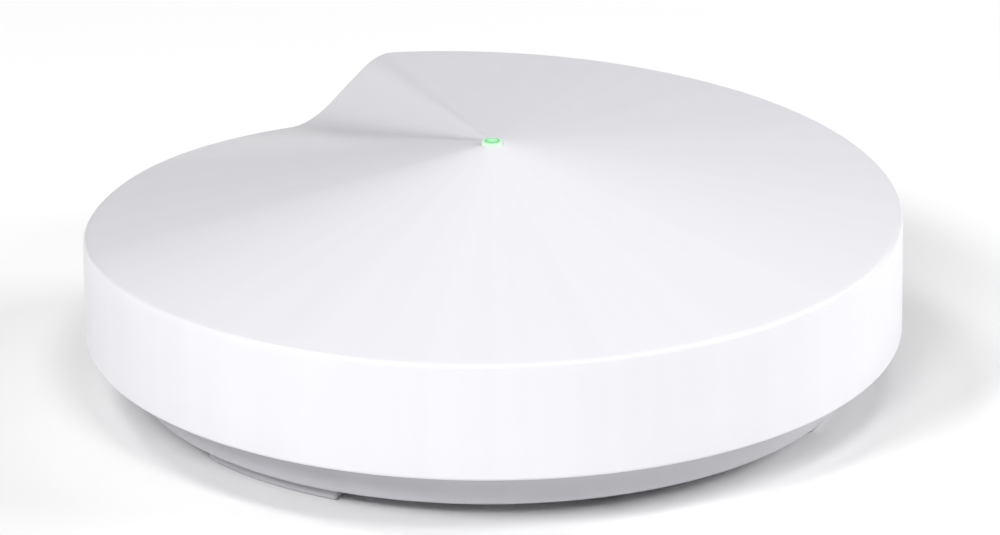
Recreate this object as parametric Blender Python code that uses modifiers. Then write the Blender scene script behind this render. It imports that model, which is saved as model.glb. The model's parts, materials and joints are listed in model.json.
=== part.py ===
"""Mesh wifi node: a round white puck with a spiral top, standing on a smaller grey base.

Run it with blender --background --python part.py, or from Blender's text editor.
Lengths are metres and +Z is up. The front faces -Y and the sockets face +Y. The origin is
on the floor below the middle of the puck. Angles are degrees from +X towards +Y. Pieces
that touch or rest on each other keep a gap of 0.3 mm.
"""

import math

import bmesh
import bpy
from mathutils import Matrix, Vector

MM = 0.001
GAP = 0.3 * MM
OBJECT_NAME = "mesh_wifi_node"

# Cover: vertical wall, and a top of straight lines from the apex to a rim that climbs once
# round and drops back in one step.
COVER_RADIUS = 60.0 * MM
COVER_WALL = 2.0 * MM
COVER_EDGE = 8.8 * MM
COVER_STEPS = 144
APEX_HEIGHT = 37.8 * MM
MEAN_RIM_HEIGHT = 26.0 * MM
RIM_BEVEL = 0.5 * MM
EDGE_FILLET = 0.4 * MM
TOP_RING_RADII = [15.0 * MM, 30.0 * MM, 45.0 * MM]
STEP_CREST_ANGLE = 85.3
STEP_FOOT_ANGLE = 95.9
CREST_ROUNDING = 2.2
FOOT_ROUNDING = 3.6
# Rim height in millimetres at angles counted from the foot of the step round to its crest.
RIM_CLIMB = [(0.0, 20.9), (28.0, 22.4), (54.0, 23.3), (84.0, 25.4), (119.0, 26.2),
             (174.0, 26.5), (244.0, 26.7), (294.0, 28.2), (324.0, 29.6), (349.4, 30.9)]

# Base: a shallow dish whose flange reaches under the cover.
FLOOR_BOTTOM = 2.2 * MM
FLOOR_TOP = 4.0 * MM
BASE_BOTTOM_RADIUS = 52.9 * MM
BASE_TOP_RADIUS = 54.3 * MM
BASE_WALL = 1.6 * MM
BASE_FILLET = 0.7 * MM
FLANGE_RADIUS = 57.6 * MM
FLANGE_BOTTOM = 9.2 * MM
FLANGE_TOP = 10.7 * MM
BASE_STEPS = 96
VENT_COUNT = 30
VENT_SIZE = (1.5 * MM, 5.0 * MM, 4.0 * MM)
VENT_RADIUS = 56.0 * MM
VENT_FREE_ARC = 35.0

# Feet, in shallow pockets under the floor.
FOOT_ANGLES = [88.0, 208.0, 328.0]
FOOT_HALF_ARC = 14.0
FOOT_INNER_RADIUS = 44.2 * MM
FOOT_OUTER_RADIUS = 50.8 * MM
POCKET_TOP = 3.0 * MM

LABEL_RADIUS = 22.0 * MM
LABEL_RECESS = 0.35 * MM
LABEL_THICKNESS = 0.2 * MM

# Sockets at the rear, in a recess with a flat back plate.
PLATE_FRONT = 48.3 * MM
PLATE_BACK = 46.8 * MM
RECESS_HALF_WIDTH = 23.3 * MM
RECESS_ROOF = 17.0 * MM
BEZEL_WALL = 1.2 * MM
BEZEL_RADIUS = 57.6 * MM
REAR = 62.0 * MM
JACK_CENTRES = [13.5 * MM, -3.3 * MM]
JACK_SIZE = (15.8 * MM, 16.0 * MM, 12.0 * MM)
JACK_BOTTOM = 5.2 * MM
SOCKET_WIDTH = 11.8 * MM
SOCKET_BOTTOM = 8.0 * MM
SOCKET_TOP = 15.6 * MM
SOCKET_DEPTH = 12.5 * MM
CONTACT_COUNT = 8
CONTACT_PITCH = 1.02 * MM
POWER_CENTRE = -17.5 * MM
POWER_SIZE = (8.94 * MM, 7.3 * MM, 3.26 * MM)
POWER_SHEET = 0.35 * MM

# Circuit board and what stands on it.
BOARD_RADIUS = 51.5 * MM
BOARD_BOTTOM = 7.0 * MM
BOARD_TOP = 8.6 * MM
ON_BOARD = BOARD_TOP + GAP
CASE_SCREW_RADIUS = 45.5 * MM
CASE_SCREW_ANGLES = [28.0, 148.0, 268.0]
BOARD_SCREW_RADIUS = 42.0 * MM
BOARD_SCREW_ANGLES = [50.0, 170.0, 290.0]
SHIELD_SIZE = (14.5 * MM, 30.0 * MM, 2.0 * MM)
SHIELD_CENTRES = [(-13.75 * MM, -7.0 * MM), (13.75 * MM, -7.0 * MM)]
SHIELD_SHEET = 0.3 * MM
HEATSINK_BOTTOM = 12.0 * MM
HEATSINK_PLATE_TOP = 13.5 * MM
HEATSINK_TOP = 22.0 * MM
HEATSINK_HALF_WIDTH = 22.0 * MM
HEATSINK_FRONT = -28.0 * MM
HEATSINK_BACK = 12.0 * MM
FIN_COUNT = 9
FIN_THICKNESS = 1.2 * MM

# Aerials stuck to the inside of an upright C-shaped frame.
FRAME_INNER_RADIUS = 50.0 * MM
FRAME_OUTER_RADIUS = 51.9 * MM
FRAME_TOP = 20.5 * MM
FRAME_ENDS = (124.0, 416.0)
ANTENNA_ANGLES = [-2.0, -62.0, -122.0, -182.0]
ANTENNA_HALF_ARC = 13.0
ANTENNA_THICKNESS = 0.4 * MM
ANTENNA_BOTTOM = 11.0 * MM
ANTENNA_TOP = 19.5 * MM
SOCKET_TURN = 14.0
AERIAL_SOCKET_RADIUS = 40.0 * MM
CABLE_RADIUS = 0.55 * MM

# Reset button, worked with a pin from below.
RESET_X = 26.0 * MM
RESET_Y = -18.0 * MM
RESET_TRAVEL = 0.3 * MM
RESET_PIN_RADIUS = 0.9 * MM

# Indicator in the middle of the top.
LENS_RADIUS = 1.45 * MM
LENS_TOP = 38.0 * MM
LENS_DOME = 0.3 * MM
PIPE_RADIUS = 2.0 * MM

# Colour, roughness and metallic value of each kind of material.
FINISHES = {
    "white_plastic": ((0.90, 0.90, 0.91), 0.38, 0.0),
    "grey_plastic": ((0.62, 0.62, 0.64), 0.55, 0.0),
    "dark_plastic": ((0.035, 0.035, 0.04), 0.5, 0.0),
    "grey_rubber": ((0.50, 0.50, 0.51), 0.85, 0.0),
    "frame_plastic": ((0.16, 0.16, 0.17), 0.6, 0.0),
    "board_green": ((0.02, 0.16, 0.07), 0.45, 0.0),
    "chip_black": ((0.02, 0.02, 0.022), 0.45, 0.0),
    "shield_tin": ((0.68, 0.68, 0.66), 0.3, 1.0),
    "steel": ((0.55, 0.55, 0.56), 0.3, 1.0),
    "aluminium": ((0.75, 0.75, 0.76), 0.35, 1.0),
    "gold": ((0.83, 0.62, 0.25), 0.25, 1.0),
    "copper": ((0.72, 0.42, 0.25), 0.3, 1.0),
    "clear_acrylic": ((0.86, 0.97, 0.90), 0.12, 0.0),
    "led_white": ((0.92, 0.93, 0.86), 0.3, 0.0),
    "black_foam": ((0.03, 0.03, 0.03), 0.95, 0.0),
    "thermal_pad": ((0.35, 0.50, 0.62), 0.8, 0.0),
    "label_paper": ((0.80, 0.80, 0.80), 0.6, 0.0),
    "ceramic": ((0.88, 0.86, 0.80), 0.5, 0.0),
}


# ---------------------------------------------------------------- scene and materials

def clear_scene():
    """Remove every object and make the collections for parts and for cutters."""
    for old in list(bpy.data.objects):
        bpy.data.objects.remove(old, do_unlink=True)
    collections = []
    for name in (OBJECT_NAME, "cutters"):
        collection = bpy.data.collections.new(name)
        bpy.context.scene.collection.children.link(collection)
        collections.append(collection)
    return collections


PARTS, CUTTERS = clear_scene()


def finish_material(part_name, finish):
    """A Principled material of one part's own."""
    colour, roughness, metallic = FINISHES[finish]
    material = bpy.data.materials.new(part_name)
    material.use_nodes = True
    shader = material.node_tree.nodes["Principled BSDF"]
    shader.inputs["Base Color"].default_value = (*colour, 1.0)
    shader.inputs["Roughness"].default_value = roughness
    shader.inputs["Metallic"].default_value = metallic
    material.diffuse_color = (*colour, 1.0)
    return material


def make_part(obj, finish, round_piece=False):
    """Put an object among the parts, with its material and its shading."""
    PARTS.objects.link(obj)
    obj.data.materials.clear()
    obj.data.materials.append(finish_material(obj.name, finish))
    if round_piece and obj.type == "MESH":
        obj.data.shade_smooth()
        obj.data.set_sharp_from_angle(angle=math.radians(35.0))
    return obj


def make_cutter(obj):
    """Put an object among the cutters, which are not parts."""
    CUTTERS.objects.link(obj)
    obj.hide_render = True
    obj.display_type = "WIRE"
    return obj


# ---------------------------------------------------------------- shapes

def polar(radius, angle):
    """The point at a radius and an angle in degrees."""
    turn = math.radians(angle)
    return radius * math.cos(turn), radius * math.sin(turn)


def object_from_bmesh(name, mesh_data):
    mesh = bpy.data.meshes.new(name)
    mesh_data.to_mesh(mesh)
    mesh_data.free()
    return bpy.data.objects.new(name, mesh)


def block(name, x_range, y_range, z_range):
    """A box between two limits along each axis, with its origin in its middle."""
    limits = (x_range, y_range, z_range)
    size = [high - low for low, high in limits]
    centre = [(high + low) / 2.0 for low, high in limits]
    mesh_data = bmesh.new()
    bmesh.ops.create_cube(mesh_data, size=1.0, matrix=Matrix.Diagonal((*size, 1.0)))
    obj = object_from_bmesh(name, mesh_data)
    obj.location = centre
    return obj


def standing_block(name, centre_xy, size, bottom=ON_BOARD):
    """A box of a given size that stands at a height."""
    x, y = centre_xy
    half_x = size[0] / 2.0
    half_y = size[1] / 2.0
    return block(name, (x - half_x, x + half_x), (y - half_y, y + half_y), (bottom, bottom + size[2]))


def cylinder(name, centre_xy, radius, z_range, segments=32):
    """An upright cylinder, with its origin on its own axis at its lower face."""
    height = z_range[1] - z_range[0]
    mesh_data = bmesh.new()
    bmesh.ops.create_cone(
        mesh_data, cap_ends=True, segments=segments, radius1=radius, radius2=radius,
        depth=height, matrix=Matrix.Translation((0.0, 0.0, height / 2.0)))
    obj = object_from_bmesh(name, mesh_data)
    obj.location = (centre_xy[0], centre_xy[1], z_range[0])
    return obj


def turned(name, profile, steps, closed=False):
    """A profile of (radius, height) turned about Z; it runs down its outer side."""
    mesh = bpy.data.meshes.new(name)
    points = [(radius, 0.0, height) for radius, height in profile]
    edges = [(i, i + 1) for i in range(len(points) - 1)]
    if closed:
        edges.append((len(points) - 1, 0))
    mesh.from_pydata(points, edges, [])
    obj = bpy.data.objects.new(name, mesh)
    screw = obj.modifiers.new("turn", "SCREW")
    screw.axis = "Z"
    screw.steps = steps
    screw.render_steps = steps
    screw.use_merge_vertices = True
    screw.merge_threshold = 0.01 * MM
    return obj


def as_mesh(obj):
    """The same shape as a plain mesh object, with its modifiers applied and its caps welded."""
    name = obj.name
    bpy.context.scene.collection.objects.link(obj)
    depsgraph = bpy.context.evaluated_depsgraph_get()
    mesh = bpy.data.meshes.new_from_object(obj.evaluated_get(depsgraph))
    matrix = obj.matrix_world.copy()
    bpy.data.objects.remove(obj, do_unlink=True)
    mesh_data = bmesh.new()
    mesh_data.from_mesh(mesh)
    bmesh.ops.remove_doubles(mesh_data, verts=mesh_data.verts, dist=0.001 * MM)
    mesh_data.to_mesh(mesh)
    mesh_data.free()
    mesh.name = name
    result = bpy.data.objects.new(name, mesh)
    result.matrix_world = matrix
    return result


def outline_plate(name, outline, thickness):
    """A flat closed outline in XY made solid, with its lower face at z = 0."""
    curve = bpy.data.curves.new(name, "CURVE")
    curve.dimensions = "2D"
    curve.fill_mode = "BOTH"
    curve.extrude = thickness / 2.0
    spline = curve.splines.new("POLY")
    spline.points.add(len(outline) - 1)
    for point, (x, y) in zip(spline.points, outline):
        point.co = (x, y, 0.0, 1.0)
    spline.use_cyclic_u = True
    plate = as_mesh(bpy.data.objects.new(name, curve))
    plate.data.transform(Matrix.Translation((0.0, 0.0, thickness / 2.0)))
    return plate


def ring_sector(name, radii, angles, z_range, step=3.0):
    """A piece of an upright ring between two radii, two angles and two heights."""
    inner, outer = radii
    start, end = angles
    count = max(2, round((end - start) / step))
    turns = [start + (end - start) * i / count for i in range(count + 1)]
    outline = [polar(outer, turn) for turn in turns]
    outline += [polar(inner, turn) for turn in reversed(turns)]
    plate = outline_plate(name, outline, z_range[1] - z_range[0])
    plate.location.z = z_range[0]
    return plate


def wire(name, points, radius):
    """A round wire with filled ends through a list of points."""
    curve = bpy.data.curves.new(name, "CURVE")
    curve.dimensions = "3D"
    curve.bevel_depth = radius
    curve.bevel_resolution = 2
    curve.use_fill_caps = True
    spline = curve.splines.new("POLY")
    spline.points.add(len(points) - 1)
    for slot, point in zip(spline.points, points):
        slot.co = (*point, 1.0)
    return bpy.data.objects.new(name, curve)


def combine(obj, other, operation):
    """Cut, join or intersect an object with another, which becomes a cutter."""
    make_cutter(other)
    modifier = obj.modifiers.new(operation.lower(), "BOOLEAN")
    modifier.operation = operation
    modifier.solver = "EXACT"
    modifier.object = other


def cut(obj, *others):
    for other in others:
        combine(obj, other, "DIFFERENCE")


def join(obj, *others):
    for other in others:
        combine(obj, other, "UNION")


def soften(obj, width, segments=1):
    """Round the sharp edges of an object by a small width."""
    bevel = obj.modifiers.new("soften", "BEVEL")
    bevel.width = width
    bevel.segments = segments
    bevel.limit_method = "ANGLE"
    bevel.angle_limit = math.radians(50.0)


# ---------------------------------------------------------------- cover

def climb_slope(station):
    """Slope of the climb at a station of RIM_CLIMB, in millimetres for each degree."""
    before = RIM_CLIMB[max(station - 1, 0)]
    after = RIM_CLIMB[min(station + 1, len(RIM_CLIMB) - 1)]
    return (after[1] - before[1]) / (after[0] - before[0])


def climb_height(turn):
    """Rim height in millimetres at an angle from the foot of the step, smooth through RIM_CLIMB."""
    index = 0
    while index < len(RIM_CLIMB) - 2 and turn > RIM_CLIMB[index + 1][0]:
        index += 1
    start, end = RIM_CLIMB[index], RIM_CLIMB[index + 1]
    span = end[0] - start[0]
    t = (turn - start[0]) / span
    height = start[1] * (2 * t ** 3 - 3 * t ** 2 + 1) + end[1] * (3 * t ** 2 - 2 * t ** 3)
    height += climb_slope(index) * span * (t ** 3 - 2 * t ** 2 + t)
    height += climb_slope(index + 1) * span * (t ** 3 - t ** 2)
    return height


def knee(offset, reach, bend):
    """What rounding a knee adds at an offset from it; bend is how much the slope changes there."""
    if abs(offset) >= reach:
        return 0.0
    return bend * ((offset + reach) ** 2 / (4.0 * reach) - max(offset, 0.0))


def rim_height(angle):
    """Height of the rim at an angle: the long climb, and the short straight ramp back down."""
    climb_arc = RIM_CLIMB[-1][0]
    foot, crest = RIM_CLIMB[0][1], RIM_CLIMB[-1][1]
    ramp_slope = (foot - crest) / (STEP_FOOT_ANGLE - STEP_CREST_ANGLE)
    turn = (angle - STEP_FOOT_ANGLE) % 360.0
    height = climb_height(turn) if turn <= climb_arc else crest + ramp_slope * (turn - climb_arc)
    from_foot = (turn + 180.0) % 360.0 - 180.0
    height += knee(turn - climb_arc, CREST_ROUNDING, ramp_slope - climb_slope(len(RIM_CLIMB) - 1))
    height += knee(from_foot, FOOT_ROUNDING, climb_slope(0) - ramp_slope)
    return height * MM


def top_height(radius, rim):
    """Height of the cover's top at a radius, where its rim has a given height."""
    return APEX_HEIGHT + (rim - APEX_HEIGHT) * radius / COVER_RADIUS


def cover_profile():
    """Section of the cover where the rim has its mean height."""
    hole = LENS_RADIUS + GAP
    inner = COVER_RADIUS - COVER_WALL
    top_radii = [hole, *TOP_RING_RADII, COVER_RADIUS - RIM_BEVEL]
    outside = [(radius, top_height(radius, MEAN_RIM_HEIGHT)) for radius in top_radii]
    outside += [
        (COVER_RADIUS - 0.15 * RIM_BEVEL, MEAN_RIM_HEIGHT - 0.3 * RIM_BEVEL),
        (COVER_RADIUS, MEAN_RIM_HEIGHT - RIM_BEVEL),
        (COVER_RADIUS, COVER_EDGE + EDGE_FILLET),
        (COVER_RADIUS - 0.3 * EDGE_FILLET, COVER_EDGE + 0.3 * EDGE_FILLET),
        (COVER_RADIUS - EDGE_FILLET, COVER_EDGE),
        (inner, COVER_EDGE),
    ]
    under_radii = [inner, *reversed(TOP_RING_RADII), hole]
    inside = [(radius, top_height(radius, MEAN_RIM_HEIGHT) - COVER_WALL) for radius in under_radii]
    return outside + inside


def lift_to_spiral(mesh):
    """Move the top of the turned cover up or down to the rim's height at each angle."""
    for vertex in mesh.vertices:
        if vertex.co.z < (COVER_EDGE + MEAN_RIM_HEIGHT) / 2.0:
            continue
        angle = math.degrees(math.atan2(vertex.co.y, vertex.co.x))
        radius = math.hypot(vertex.co.x, vertex.co.y)
        vertex.co.z += (rim_height(angle) - MEAN_RIM_HEIGHT) * radius / COVER_RADIUS


def make_cover():
    cover = as_mesh(turned("top_cover", cover_profile(), COVER_STEPS, closed=True))
    lift_to_spiral(cover.data)
    for angle in CASE_SCREW_ANGLES:
        centre = polar(CASE_SCREW_RADIUS, angle)
        roof = top_height(CASE_SCREW_RADIUS, rim_height(angle)) - COVER_WALL / 2.0
        join(cover, cylinder("cover_boss", centre, 3.0 * MM, (5.6 * MM, roof), 24))
        cut(cover, cylinder("cover_pilot", centre, 1.6 * MM, (5.0 * MM, 14.5 * MM), 20))
    notch = block("cover_notch", (-RECESS_HALF_WIDTH, RECESS_HALF_WIDTH), (PLATE_FRONT, REAR),
                  (COVER_EDGE - MM, RECESS_ROOF))
    cut(cover, notch)
    make_part(cover, "white_plastic", round_piece=True)


# ---------------------------------------------------------------- base and feet

def base_profile():
    return [
        (0.0, FLOOR_TOP),
        (BASE_BOTTOM_RADIUS - BASE_WALL, FLOOR_TOP),
        (BASE_TOP_RADIUS - BASE_WALL, FLANGE_TOP),
        (FLANGE_RADIUS, FLANGE_TOP),
        (FLANGE_RADIUS, FLANGE_BOTTOM),
        (BASE_TOP_RADIUS, FLANGE_BOTTOM),
        (BASE_BOTTOM_RADIUS, FLOOR_BOTTOM + BASE_FILLET),
        (BASE_BOTTOM_RADIUS - 0.3 * BASE_FILLET, FLOOR_BOTTOM + 0.3 * BASE_FILLET),
        (BASE_BOTTOM_RADIUS - BASE_FILLET, FLOOR_BOTTOM),
        (LABEL_RADIUS + GAP, FLOOR_BOTTOM),
        (LABEL_RADIUS + GAP, FLOOR_BOTTOM + LABEL_RECESS),
        (0.0, FLOOR_BOTTOM + LABEL_RECESS),
    ]


def add_vents(base):
    """Slots right round the flange, apart from the rear where the sockets are."""
    for index in range(VENT_COUNT):
        angle = 360.0 * (index + 0.5) / VENT_COUNT
        from_rear = abs((angle - 90.0 + 180.0) % 360.0 - 180.0)
        if from_rear < VENT_FREE_ARC:
            continue
        half = [size / 2.0 for size in VENT_SIZE]
        slot = block("vent", (-half[0], half[0]), (-half[1], half[1]), (-half[2], half[2]))
        slot.location = (*polar(VENT_RADIUS, angle), FLANGE_TOP)
        slot.rotation_euler.z = math.radians(angle)
        cut(base, slot)


def make_base():
    base = as_mesh(turned("base_shell", base_profile(), BASE_STEPS))
    for angle in CASE_SCREW_ANGLES:
        centre = polar(CASE_SCREW_RADIUS, angle)
        join(base, cylinder("base_pad", centre, 5.2 * MM, (3.4 * MM, 5.3 * MM), 32))
        cut(base, cylinder("counterbore", centre, 3.2 * MM, (1.0 * MM, 3.9 * MM), 32))
        cut(base, cylinder("case_screw_hole", centre, 1.65 * MM, (3.0 * MM, 6.0 * MM), 20))
    for angle in BOARD_SCREW_ANGLES:
        centre = polar(BOARD_SCREW_RADIUS, angle)
        join(base, cylinder("board_boss", centre, 2.8 * MM, (3.4 * MM, BOARD_BOTTOM - GAP), 24))
        cut(base, cylinder("board_pilot", centre, 1.35 * MM, (4.6 * MM, BOARD_BOTTOM), 20))
    for angle in FOOT_ANGLES:
        reach = FOOT_HALF_ARC + math.degrees(GAP / FOOT_OUTER_RADIUS)
        radii = (FOOT_INNER_RADIUS - GAP, FOOT_OUTER_RADIUS + GAP)
        cut(base, ring_sector("pocket", radii, (angle - reach, angle + reach), (1.0 * MM, POCKET_TOP)))
    reset_hole = RESET_PIN_RADIUS + GAP
    cut(base, cylinder("reset_hole", (RESET_X, RESET_Y), reset_hole, (1.0 * MM, 5.0 * MM), 20))
    half_window = RECESS_HALF_WIDTH + BEZEL_WALL + GAP
    cut(base, block("socket_window", (-half_window, half_window), (PLATE_BACK - GAP, REAR),
                    (FLOOR_TOP - 0.1 * MM, FLANGE_TOP + MM)))
    add_vents(base)
    make_part(base, "grey_plastic", round_piece=True)


def make_feet():
    for index, angle in enumerate(FOOT_ANGLES, start=1):
        foot = ring_sector(
            f"foot_{index}", (FOOT_INNER_RADIUS, FOOT_OUTER_RADIUS),
            (angle - FOOT_HALF_ARC, angle + FOOT_HALF_ARC), (0.0, POCKET_TOP - GAP))
        soften(foot, 0.3 * MM)
        make_part(foot, "grey_rubber")


def make_label():
    top = FLOOR_BOTTOM + LABEL_RECESS - GAP
    label = cylinder("rating_label", (0.0, 0.0), LABEL_RADIUS, (top - LABEL_THICKNESS, top), 64)
    make_part(label, "label_paper")


# ---------------------------------------------------------------- fasteners

def screw_with_cross(name, centre, head, shank):
    """A pan-head screw; head and shank are (radius, lower z, upper z), the head outermost."""
    head_radius, head_low, head_high = head
    shank_radius, shank_low, shank_high = shank
    if shank_high > head_high:
        profile = [(0.0, shank_high), (shank_radius, shank_high), (shank_radius, head_high),
                   (head_radius, head_high), (head_radius, head_low + 0.3 * MM),
                   (head_radius - 0.3 * MM, head_low), (0.0, head_low)]
        drive_z = (head_low - MM, head_low + 0.6 * MM)
    else:
        profile = [(0.0, head_high), (head_radius - 0.3 * MM, head_high),
                   (head_radius, head_high - 0.3 * MM), (head_radius, head_low),
                   (shank_radius, head_low), (shank_radius, shank_low), (0.0, shank_low)]
        drive_z = (head_high - 0.6 * MM, head_high + MM)
    screw = as_mesh(turned(name, profile, 24))
    screw.location = (*centre, 0.0)
    for reach_x, reach_y in ((1.3 * MM, 0.3 * MM), (0.3 * MM, 1.3 * MM)):
        slot = block("cross_drive", (-reach_x, reach_x), (-reach_y, reach_y), drive_z)
        slot.location.x = centre[0]
        slot.location.y = centre[1]
        cut(screw, slot)
    make_part(screw, "steel", round_piece=True)


def make_screws():
    for index, angle in enumerate(CASE_SCREW_ANGLES, start=1):
        screw_with_cross(
            f"case_screw_{index}", polar(CASE_SCREW_RADIUS, angle),
            (2.8 * MM, 2.5 * MM, 3.6 * MM), (1.3 * MM, 3.6 * MM, 14.0 * MM))
    for index, angle in enumerate(BOARD_SCREW_ANGLES, start=1):
        screw_with_cross(
            f"board_screw_{index}", polar(BOARD_SCREW_RADIUS, angle),
            (2.3 * MM, ON_BOARD, ON_BOARD + 1.2 * MM), (1.05 * MM, 5.0 * MM, ON_BOARD))


# ---------------------------------------------------------------- sockets

def make_bezel():
    """Recess liner: flat back plate, roof and side cheeks, rounded to fit inside the cover."""
    half = RECESS_HALF_WIDTH + BEZEL_WALL
    bezel = block("port_bezel", (-half, half), (PLATE_BACK, REAR - MM),
                  (FLOOR_TOP + GAP, RECESS_ROOF + BEZEL_WALL))
    combine(bezel, cylinder("bezel_trim", (0.0, 0.0), BEZEL_RADIUS, (0.0, 30.0 * MM), 144), "INTERSECT")
    cut(bezel, block("recess", (-RECESS_HALF_WIDTH, RECESS_HALF_WIDTH), (PLATE_FRONT, REAR),
                     (0.0, RECESS_ROOF)))
    cut(bezel, block("under_cheeks", (-half - MM, half + MM), (PLATE_FRONT, REAR),
                     (0.0, COVER_EDGE + GAP)))
    for centre in JACK_CENTRES:
        cut(bezel, block("jack_window", (centre - 6.2 * MM, centre + 6.2 * MM),
                         (PLATE_BACK - MM, PLATE_FRONT + MM), (5.8 * MM, 16.0 * MM)))
    half_width = POWER_SIZE[0] / 2.0 + GAP
    window = block("power_window", (POWER_CENTRE - half_width, POWER_CENTRE + half_width),
                   (PLATE_BACK - MM, PLATE_FRONT + MM),
                   (ON_BOARD - GAP, ON_BOARD + POWER_SIZE[2] + GAP))
    cut(bezel, window)
    make_part(bezel, "grey_plastic")


def make_jack(index, centre):
    """Ethernet jack set through the board's edge, its latch slot below its contacts."""
    width, depth, height = JACK_SIZE
    front = PLATE_BACK - GAP
    jack = block(f"lan_jack_{index}", (centre - width / 2.0, centre + width / 2.0),
                 (front - depth, front), (JACK_BOTTOM, JACK_BOTTOM + height))
    join(jack, block("jack_tail", (centre - 7.0 * MM, centre + 7.0 * MM),
                     (front - depth - 3.0 * MM, front - depth + MM), (ON_BOARD, 13.0 * MM)))
    half = SOCKET_WIDTH / 2.0
    cut(jack, block("socket", (centre - half, centre + half), (front - SOCKET_DEPTH, front + MM),
                    (SOCKET_BOTTOM, SOCKET_TOP)))
    cut(jack, block("latch_slot", (centre - 3.2 * MM, centre + 3.2 * MM),
                    (front - SOCKET_DEPTH + 2.0 * MM, front + MM), (6.1 * MM, SOCKET_BOTTOM + MM)))
    make_part(jack, "dark_plastic")


def make_contacts(index, centre):
    """Eight flat contact springs that leave one bar at the back of the socket."""
    half = CONTACT_PITCH * (CONTACT_COUNT - 1) / 2.0 + 0.25 * MM
    back = PLATE_BACK - GAP - SOCKET_DEPTH + GAP
    bar_front = back + 1.5 * MM
    tip = bar_front + 6.5 * MM
    outline = [(centre - half, back), (centre + half, back)]
    for number in reversed(range(CONTACT_COUNT)):
        middle = centre + CONTACT_PITCH * (number - (CONTACT_COUNT - 1) / 2.0)
        right = middle + 0.25 * MM
        left = middle - 0.25 * MM
        outline += [(right, bar_front), (right, tip), (left, tip), (left, bar_front)]
    top = SOCKET_TOP - GAP
    comb = outline_plate(f"lan_contacts_{index}", tidy_outline(outline), 0.3 * MM)
    comb.location.z = top - 0.3 * MM
    make_part(comb, "gold")


def tidy_outline(outline):
    """Drop the points at the ends of the bar that lie on a straight side."""
    return [outline[0], outline[1], *outline[3:-1]]


def make_power_inlet():
    """USB-C receptacle: a pressed sleeve that is shut at the back, with a tongue inside."""
    width, depth, height = POWER_SIZE
    front = PLATE_FRONT - GAP
    low = ON_BOARD
    x_range = (POWER_CENTRE - width / 2.0, POWER_CENTRE + width / 2.0)
    sleeve = rounded_bar("usb_c_receptacle", x_range, (front - depth, front), (low, low + height))
    inner_x = (x_range[0] + POWER_SHEET, x_range[1] - POWER_SHEET)
    inner_z = (low + POWER_SHEET, low + height - POWER_SHEET)
    cavity = rounded_bar("power_cavity", inner_x, (front - depth + 1.2 * MM, front + MM), inner_z)
    cut(sleeve, cavity)
    make_part(sleeve, "steel")
    middle = low + height / 2.0
    tongue = block("usb_c_tongue", (POWER_CENTRE - 3.35 * MM, POWER_CENTRE + 3.35 * MM),
                   (front - depth + 1.2 * MM + GAP, front - 0.9 * MM),
                   (middle - 0.35 * MM, middle + 0.35 * MM))
    make_part(tongue, "dark_plastic")


def rounded_bar(name, x_range, y_range, z_range):
    """A bar along Y whose section is a slot with round ends."""
    half_height = (z_range[1] - z_range[0]) / 2.0
    half_width = (x_range[1] - x_range[0]) / 2.0
    outline = []
    for side, start in ((1.0, -90.0), (-1.0, 90.0)):
        for number in range(9):
            x, y = polar(half_height, start + 22.5 * number)
            outline.append((x + side * (half_width - half_height), y))
    bar = outline_plate(name, outline, y_range[1] - y_range[0])
    bar.data.transform(Matrix.Rotation(math.radians(90.0), 4, "X"))
    bar.location = (x_range[0] + half_width, y_range[1], z_range[0] + half_height)
    return bar


# ---------------------------------------------------------------- board and electronics

def make_board():
    board = cylinder("main_board", (0.0, 0.0), BOARD_RADIUS, (BOARD_BOTTOM, BOARD_TOP), 96)
    rear = PLATE_BACK - 0.5 * MM
    z_range = (BOARD_BOTTOM - MM, BOARD_TOP + MM)
    cut(board, block("rear_edge", (-REAR, REAR), (rear, REAR), z_range))
    margin = JACK_SIZE[0] / 2.0 + GAP
    jack_room = (min(JACK_CENTRES) - margin, max(JACK_CENTRES) + margin)
    jack_back = PLATE_BACK - GAP - JACK_SIZE[1] - GAP
    cut(board, block("jack_room", jack_room, (jack_back, REAR), z_range))
    for angle in CASE_SCREW_ANGLES:
        cut(board, cylinder("boss_hole", polar(CASE_SCREW_RADIUS, angle), 3.5 * MM, z_range, 32))
    for angle in BOARD_SCREW_ANGLES:
        cut(board, cylinder("screw_hole", polar(BOARD_SCREW_RADIUS, angle), 1.4 * MM, z_range, 20))
    for centre in heatsink_pin_centres():
        cut(board, cylinder("pin_hole", centre, 1.3 * MM, z_range, 20))
    make_part(board, "board_green")


def make_shields():
    """Tin cans that are open towards the board."""
    for index, (x, y) in enumerate(SHIELD_CENTRES, start=1):
        can = standing_block(f"shield_can_{index}", (x, y), SHIELD_SIZE)
        inner = (SHIELD_SIZE[0] - 2 * SHIELD_SHEET, SHIELD_SIZE[1] - 2 * SHIELD_SHEET, SHIELD_SIZE[2])
        cut(can, standing_block("can_inside", (x, y), inner, ON_BOARD - SHIELD_SHEET))
        make_part(can, "shield_tin")
        pad_bottom = ON_BOARD + SHIELD_SIZE[2] + GAP
        pad_size = (12.0 * MM, 26.0 * MM, HEATSINK_BOTTOM - GAP - pad_bottom)
        make_part(standing_block(f"thermal_pad_{index}", (x, y), pad_size, pad_bottom), "thermal_pad")


def fin_pitch():
    return (2.0 * HEATSINK_HALF_WIDTH - FIN_THICKNESS) / (FIN_COUNT - 1)


def heatsink_pin_centres():
    """Two pins in the outermost valleys, at opposite ends of the heatsink."""
    valley = HEATSINK_HALF_WIDTH - FIN_THICKNESS / 2.0 - fin_pitch() / 2.0
    return [(-valley, HEATSINK_FRONT + 2.7 * MM), (valley, HEATSINK_BACK - 2.1 * MM)]


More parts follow.
